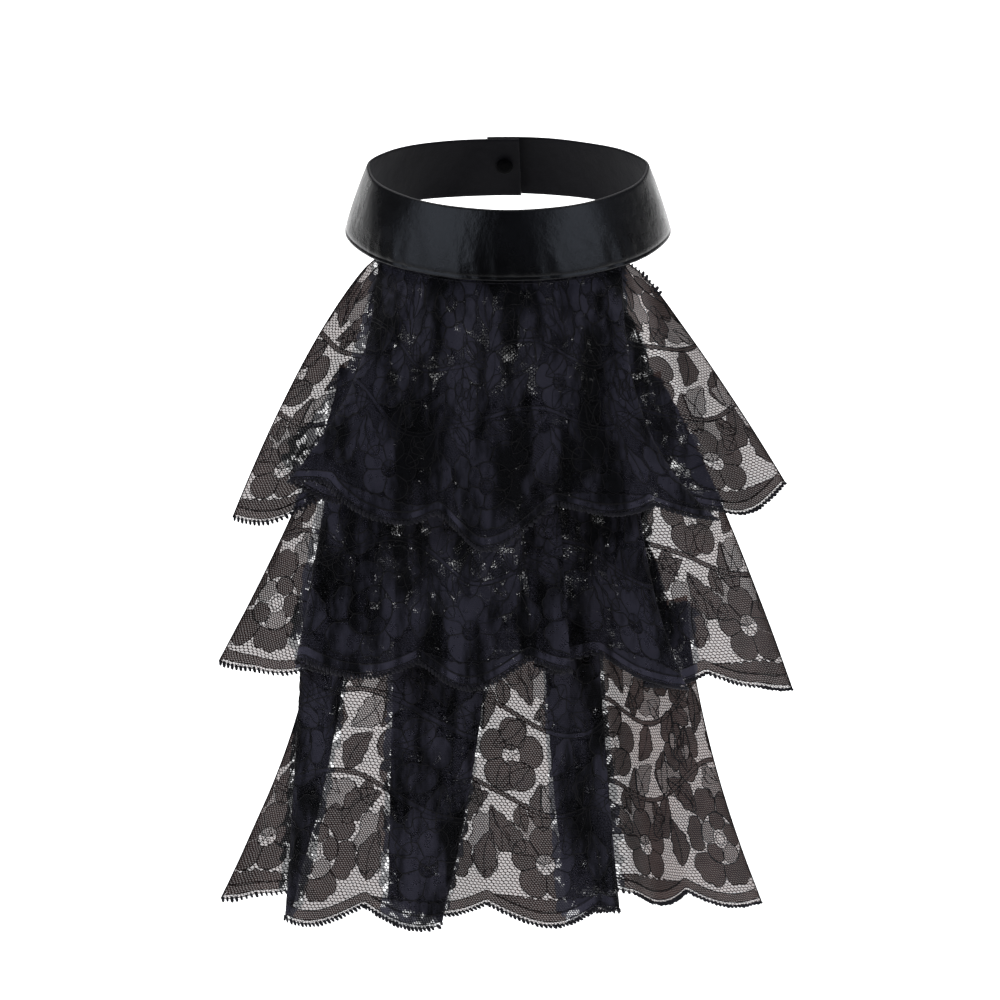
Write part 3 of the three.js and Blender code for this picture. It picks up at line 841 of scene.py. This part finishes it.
def insidePolygon(points, outline):
    inside = np.zeros(len(points), bool)
    low, high = outline.min(0), outline.max(0)
    near = np.where(((points >= low) & (points <= high)).all(1))[0]
    px, py = points[near].T
    hit = np.zeros(len(near), bool)
    for (x0, y0), (x1, y1) in zip(outline, np.roll(outline, -1, axis=0)):
        crosses = (y0 > py) != (y1 > py)
        hit ^= crosses & (px < (x1 - x0) * (py - y0) / (y1 - y0 + 1e-12) + x0)
    inside[near] = hit
    return inside


def faceKinds(middles, bands, shapes):
    label = np.zeros(len(middles), int)
    for kind, outline in shapes:
        label[insidePolygon(middles, outline)] = kinds[kind]
    for edge, side in bands:
        depth = side * (middles[:, 1] - edge(middles[:, 0]))
        label[depth < edgeOffsets[1]] = kinds["ladder"]
        label[(depth > edgeOffsets[1]) & (depth < edgeOffsets[2])] = kinds["border"]
    return label


def runsInside(line, inside):  # the stretches of a line that lie on the cloth
    runs, run = [], []
    for point, fine in zip(line, inside):
        if fine:
            run.append(point)
        else:
            runs.append(run)
            run = []
    return [run for run in (*runs, run) if len(run) > 1]


def lacePiece(name, length, lowEdge, highEdge, surface, shift, highScallops, crowdAlong):
    shapes, lines = repeated(0, length, shift)
    bands = [(lowEdge, 1)] + ([(highEdge, -1)] if highScallops else [])
    flat, faces, middles, area = flatFaces(length, lowEdge, highEdge, bands, shapes)
    label = faceKinds(middles, bands, shapes)
    mesh = meshFrom(name, surface(flat), faces.tolist())
    for material in laceMaterials:
        mesh.materials.append(material)
    mesh.polygons.foreach_set("material_index", label)
    layer = mesh.uv_layers.new(name="flat")
    layer.data.foreach_set("uv", (flat[faces.ravel()] * mm).ravel())
    aside = np.array([[2.0, 0.0]]) if crowdAlong else np.array([[0.0, 2.0]])
    spread = np.linalg.norm(surface(flat + aside) - surface(flat - aside), axis=1)
    crowd = mesh.attributes.new("crowd", "FLOAT", "POINT")  # how many times over the cloth is gathered in
    crowd.data.foreach_set("value", np.clip(4.0 / np.maximum(spread, 0.5), 1.0, 3.5) ** 0.5)
    print(name, "faces", len(faces), "worked share", round(float(area[label > 0].sum() / area.sum()), 3))
    threads = []
    for line in [np.vstack([outline, outline[:1]]) for kind, outline in shapes] + lines:
        u, w = line.T
        inside = (u > 0.3) & (u < length - 0.3) & (w > lowEdge(u) + 1) & (w < highEdge(u) - 0.3)
        threads += [surface(run) for run in runsInside(line, inside)]
    along = edgeSteps(length)
    for edge, side in bands:
        threads += [surface(columns(along, edge(along) + side * offset)) for offset in edgeOffsets]
    return objectFrom(name, mesh), threads, float(area.sum())


picots = {
    "pitch": 1.7, "thread": 0.4, "halfWidth": 0.3, "lift": 0.35, "rise": 0.6, "slant": 0.75,
    "unevenness": 0.16, "feet": ((-0.25, -0.6, 0), (-0.5, -0.6, 0)),
    "endPitch": 1.6, "endUnevenness": 0.3,  # of the frayed frill where the header comes out of the band
}
threadsLook = {
    "outline": 0.19, "ruffleEnd": 0.24, "backingEnd": 0.5, "stitch": 0.17, "stitchPitch": 3.3,
    "ruffleEndPoints": 50, "backingEndPoints": 60, "seamPoints": 300,
}


def picotShape():  # one small slanted thread loop that stands along +Y
    turn = np.linspace(-0.5 * np.pi, 1.5 * np.pi, 8)[1:-1]
    across, up = picots["halfWidth"] * np.cos(turn), picots["lift"] + picots["rise"] * np.sin(turn)
    line = columns(across + picots["slant"] * up, up, 0 * turn)
    line = np.vstack([picots["feet"][0], line, picots["feet"][1]])
    return threadPiece("picot_shape", [line], picots["thread"], 4)


def stitchShape():
    line = np.array([[-1.1, 0, -0.1], [-0.8, 0, 0.28], [0, 0, 0.36], [0.8, 0, 0.28], [1.1, 0, -0.1]])
    return threadPiece("stitch_shape", [line], threadsLook["stitch"], 4)


picot = picotShape()
stitch = stitchShape()


def arcSteps(flatLine, step):
    lengths = np.concatenate([[0], np.cumsum(np.linalg.norm(np.diff(flatLine, axis=0), axis=1))])
    count = int(lengths[-1] / step)
    at = (np.arange(count) + 0.5) * lengths[-1] / count
    return columns(np.interp(at, lengths, flatLine[:, 0]), np.interp(at, lengths, flatLine[:, 1]))


def loopRowAlong(name, places, run, out, surface, unevenness, seed):
    along = surface(places + run * 0.5) - surface(places - run * 0.5)
    outward = surface(places) - surface(places - out * 1.5)
    return rowPiece(name, surface(places), along, outward, picot, unevenness, seed)


def picotRow(name, length, edge, side, surface, seed):
    along = np.linspace(0, length, int(length) * 2)
    places = arcSteps(columns(along, edge(along)), picots["pitch"])
    ahead, behind = (columns(places[:, 0] + step, edge(places[:, 0] + step)) for step in (0.4, -0.4))
    run = ahead - behind
    run /= np.linalg.norm(run, axis=1)[:, None]
    out = side * columns(run[:, 1], -run[:, 0])
    return loopRowAlong(name, places, run, out, surface, picots["unevenness"], seed)


def endLoops(name, length, top, surface, seed):
    heights = np.arange(laceHeight - 15.0, top - 2.0, picots["endPitch"])
    places = columns(np.full(len(heights), length), heights)
    run, out = np.array([0.0, 1.0]), np.array([1.0, 0.0])
    return loopRowAlong(name, places, run, out, surface, picots["endUnevenness"], seed)


def stitchRow(name, flatLine, surface, seed):
    places = arcSteps(flatLine, threadsLook["stitchPitch"])
    run = surface(places + [0.8, 0]) - surface(places - [0.8, 0])
    down = surface(places + [0, 1.0]) - surface(places - [0, 1.0])
    return rowPiece(name, surface(places), run, down, stitch, 0.1, seed)


def lend(piece):
    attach(piece, "root")
    return piece


def ruffle(name, spec):
    length = float(spec["folds"][-1][0])
    top = laceHeight + spec["allowance"]
    surface = ruffleSurface(spec)

    def hem(u):
        return scallopCut(u - spec["cusp"])

    def header(u):
        return np.full(np.shape(u), top)

    cloth, threads, flatArea = lacePiece(
        name + "_cloth", length, hem, header, surface, spec["design"], False, True)
    ends = [surface(acrossLine(u, float(hem(u)), top, threadsLook["ruffleEndPoints"])) for u in (0.0, length)]
    seamLine = acrossLine(laceHeight, 2, length - 2, threadsLook["seamPoints"])[:, ::-1]
    onIt = [
        threadPiece(name + "_threads", threads, threadsLook["outline"], 3),
        threadPiece(name + "_rolled_ends", ends, threadsLook["ruffleEnd"], 6),
        picotRow(name + "_picots", length, hem, 1, surface, spec["seed"]),
        stitchRow(name + "_stitches", seamLine, surface, spec["seed"] + 20)]
    if spec["headerLoops"]:
        onIt.append(picotRow(name + "_header_picots", length, header, -1, surface, spec["seed"] + 40))
        onIt.append(endLoops(name + "_end_loops", length, top, surface, spec["seed"] + 60))
    for piece in (cloth, *onIt):
        lend(piece)
    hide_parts(name)
    print("stage:", name, "made")


def laceBacking():
    length = backing["top"] - backing["foot"]

    def left(u):
        return scallopCut(backing["top"] - u)

    def right(u):
        return backing["flatWidth"] - scallopCut(backing["top"] - u + pitch / 2)

    cloth, threads, flatArea = lacePiece(
        "lace_backing_cloth", length, left, right, backingSurface, backing["design"], True, False)
    ends = [backingSurface(acrossLine(u, left(u), right(u), threadsLook["backingEndPoints"]))
            for u in (0.0, length)]
    onIt = [
        threadPiece("lace_backing_threads", threads, threadsLook["outline"], 3),
        picotRow("lace_backing_picots_left", length, left, 1, backingSurface, 31),
        picotRow("lace_backing_picots_right", length, right, -1, backingSurface, 32),
        threadPiece("lace_backing_rolled_ends", ends, threadsLook["backingEnd"], 6)]
    for piece in (cloth, *onIt):
        lend(piece)
    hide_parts("lace_backing")


for name, spec in ruffles.items():
    ruffle(name, spec)
laceBacking()
for shape in (picot, stitch):
    bpy.data.objects.remove(shape)

layerRays = {  # rays that count how many layers of lace lie before and behind each point, in metres
    "ways": ((0, 1, 0), (0.13, 1, 0), (-0.13, 1, 0), (0, 1, 0.25), (0, 1, -0.25)),
    "reach": 0.12, "skip": 0.0004, "mostHits": 4, "mostLayers": 3.0,
}


def layersAlong(trees, place, direction):
    found = 0
    for tree in trees:
        start = place + direction * layerRays["skip"]
        for _ in range(layerRays["mostHits"]):
            hit = tree.ray_cast(start, direction, layerRays["reach"])[0]
            if hit is None:
                break
            found += 1
            start = hit + direction * layerRays["skip"]
    return found


def markStacks(cloths):
    trees = [BVHTree.FromPolygons([v.co for v in mesh.vertices], [tuple(f.vertices) for f in mesh.polygons])
             for mesh in cloths]
    ways = [Vector(way).normalized() for way in layerRays["ways"]]
    for mesh in cloths:
        counts = [max(layersAlong(trees, v.co, way) + layersAlong(trees, v.co, -way) for way in ways)
                  for v in mesh.vertices]
        layer = mesh.attributes.new("stack", "FLOAT", "POINT")
        layer.data.foreach_set("value", np.clip(counts, 0.0, layerRays["mostLayers"]))


markStacks([bpy.data.objects[name + "_cloth"].data for name in (*ruffles, "lace_backing")])
print("stage: backing made")


band = {
    "height": 25.8, "topRadius": 55.0, "bottomRadius": 64.0, "setBack": 12.0, "wall": 1.3,
    "innerEndX": 4.8, "outerEndX": -8.0, "lapGap": 1.9, "lapEase": 0.7,
    "columns": 520, "rows": 26, "pucker": 0.26, "bulge": 0.5, "flatRadius": 60.0,
    "foldLine": 1.5, "foldDepth": 0.22, "foldWidth": 0.45,
}


def bandMidRadius(z):
    share = (z + band["height"] / 2) / band["height"]
    return band["bottomRadius"] + (band["topRadius"] - band["bottomRadius"]) * share - band["wall"] / 2


def ringPoint(angle, radius, z):
    depth = radius + band["setBack"] * np.sign(np.cos(angle))
    return columns(radius * np.sin(angle), band["setBack"] - depth * np.cos(angle), z)


outerAngle = math.pi - math.asin(band["outerEndX"] / band["topRadius"])
innerAngle = -math.pi - math.asin(band["innerEndX"] / band["topRadius"])
lapShift = (band["lapGap"] + band["wall"]) / 2


def bandShift(angle):
    start, end = math.pi - band["lapEase"], math.pi - 0.05
    return lapShift * (smoothstep(angle, start, end) - smoothstep(-angle, start, end))


def bandPucker(angle, z):
    low = 1 - smoothstep(z, -band["height"] / 2 + 2, 5.0)
    front = smoothstep(np.cos(angle), 0.35, 0.85)
    lines = np.sin(angle * 46 + 1.3 * np.sin(angle * 7) + z * 0.16) + 0.6 * np.sin(angle * 29 - z * 0.1 + 2.0)
    slow = 0.28 * np.sin(angle * 5 + 0.6) * np.cos(z / 11.0) + 0.16 * np.sin(angle * 11 + z / 7.0)
    return band["pucker"] * low * front * lines * 0.5 + slow


def neckBandMesh():
    half, edge = band["height"] / 2, band["wall"] / 2
    rise = np.linspace(-half + edge, half - edge, band["rows"])
    crease = band["foldLine"] - half + np.array([-0.35, 0, 0.35])
    rise = np.sort(np.concatenate([rise, crease]))
    cap = np.linspace(0, np.pi, 7)[1:-1]
    profile = ([(edge, z, 0) for z in rise]
               + [(edge * math.cos(a), half - edge + edge * math.sin(a), 1) for a in cap]
               + [(-edge, z, 1) for z in rise[::-1]]
               + [(-edge * math.cos(a), -half + edge - edge * math.sin(a), 1) for a in cap])
    offsets, heights, inside = (np.array(column, float) for column in zip(*profile))
    angles = np.linspace(innerAngle, outerAngle, band["columns"])
    a, z = np.meshgrid(angles, heights, indexing="ij")
    fromFold = (z - band["foldLine"] + half) / band["foldWidth"]
    groove = band["foldDepth"] * np.exp(-fromFold ** 2) * (offsets > 0)
    bulge = band["bulge"] * (1 - (z / half) ** 2)
    radius = bandMidRadius(z) + bandShift(a) + offsets - groove + bandPucker(a, z) + bulge
    points = ringPoint(a, radius, z).reshape(-1, 3)
    size, count = len(profile), len(angles)
    faces, backSide = [], []
    for i in range(count - 1):
        for k in range(size):
            n = (k + 1) % size
            faces.append((i * size + k, (i + 1) * size + k, (i + 1) * size + n, i * size + n))
            backSide.append(int(inside[k] and inside[n]))
    faces.append(tuple(range(size)))
    faces.append(tuple((count - 1) * size + k for k in range(size))[::-1])
    backSide += [0, 0]
    mesh = meshFrom("neck_band_satin", points, faces)
    mesh.materials.append(satinFace)
    mesh.materials.append(satinBack)
    mesh.polygons.foreach_set("material_index", backSide)
    flat = columns(a.ravel() * band["flatRadius"], z.ravel()) * mm
    layer = mesh.uv_layers.new(name="flat")
    index = np.zeros(len(mesh.loops), int)
    mesh.loops.foreach_get("vertex_index", index)
    layer.data.foreach_set("uv", flat[index].ravel())
    bm = bmesh.new()
    bm.from_mesh(mesh)
    bmesh.ops.recalc_face_normals(bm, faces=bm.faces)
    bm.to_mesh(mesh)
    bm.free()
    return mesh


neckBand = lend(objectFrom("neck_band_satin", neckBandMesh()))
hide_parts("neck_band")
for node in ("snap_cap", "snap_joint", "snap_cap_outer"):
    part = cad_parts[node]
    part.data.materials.clear()
    part.data.materials.append(snapPlastic)
print("stage: band made")

studio = {"floorHeight": -0.52, "floorSize": 16.0, "floorGlow": 0.3, "world": 0.06}
# place, aim, width, height, watts, colour
lamps = {
    "softboxLeft": ((-1.50, -0.76, 0.75), (0, 0, -0.08), 1.8, 1.2, 13, (0.76, 0.84, 1.0)),
    "softboxRight": ((1.57, -0.70, 0.75), (0, 0, -0.08), 1.4, 1.2, 10, (0.76, 0.84, 1.0)),
    "topLight": ((0, 0.5, 1.9), (0, 0.0, -0.1), 2.0, 1.4, 8, (1, 1, 1)),
    "floorLight": ((0, 2.9, 2.6), (0, 2.8, -0.52), 3.8, 4.6, 290, (1, 1, 1)),
}
view = {"place": (0.0, -2.31604, 0.62925), "down": 17.946, "turn": 0.0745, "lens": 221.54, "sensor": 36.0}


def areaLight(name, place, aim, width, height, watts, colour):
    lamp = bpy.data.lights.new(name, "AREA")
    lamp.shape, lamp.size, lamp.size_y, lamp.energy = "RECTANGLE", width, height, watts
    lamp.color = colour
    made = objectFrom(name, lamp)
    made.location = place
    made.rotation_euler = (Vector(aim) - Vector(place)).to_track_quat("-Z", "Y").to_euler()


def paleFloor():
    half = studio["floorSize"] / mm / 2
    corners = [(-half, -half, 0), (half, -half, 0), (half, half, 0), (-half, half, 0)]
    mesh = meshFrom("floor", corners, [(0, 1, 2, 3)], smooth=False)
    material, tree, shader, value = mottledMaterial("paleFloor")
    shader["Emission Color"].default_value = (1, 1, 1, 1)
    shader["Emission Strength"].default_value = studio["floorGlow"]
    mesh.materials.append(material)
    floor = objectFrom("floor", mesh)
    floor.location.z = studio["floorHeight"]
    return floor


floor = paleFloor()

scene.world = bpy.data.worlds.new("studio")
scene.world.use_nodes = True
background = scene.world.node_tree.nodes["Background"].inputs
background["Color"].default_value = (1, 1, 1, 1)
background["Strength"].default_value = studio["world"]

for name, look in lamps.items():
    areaLight(name, *look)

cameraData = bpy.data.cameras.new("camera")
cameraData.sensor_width, cameraData.lens = view["sensor"], view["lens"]
cameraData.clip_start, cameraData.clip_end = 0.05, 60.0
camera = objectFrom("camera", cameraData)
camera.location = view["place"]
camera.rotation_euler = (math.radians(90 - view["down"]), 0.0, math.radians(view["turn"]))
scene.camera = camera
scene.view_settings.view_transform = "Standard"
scene.cycles.transparent_max_bounces = 24
print("stage: studio set")
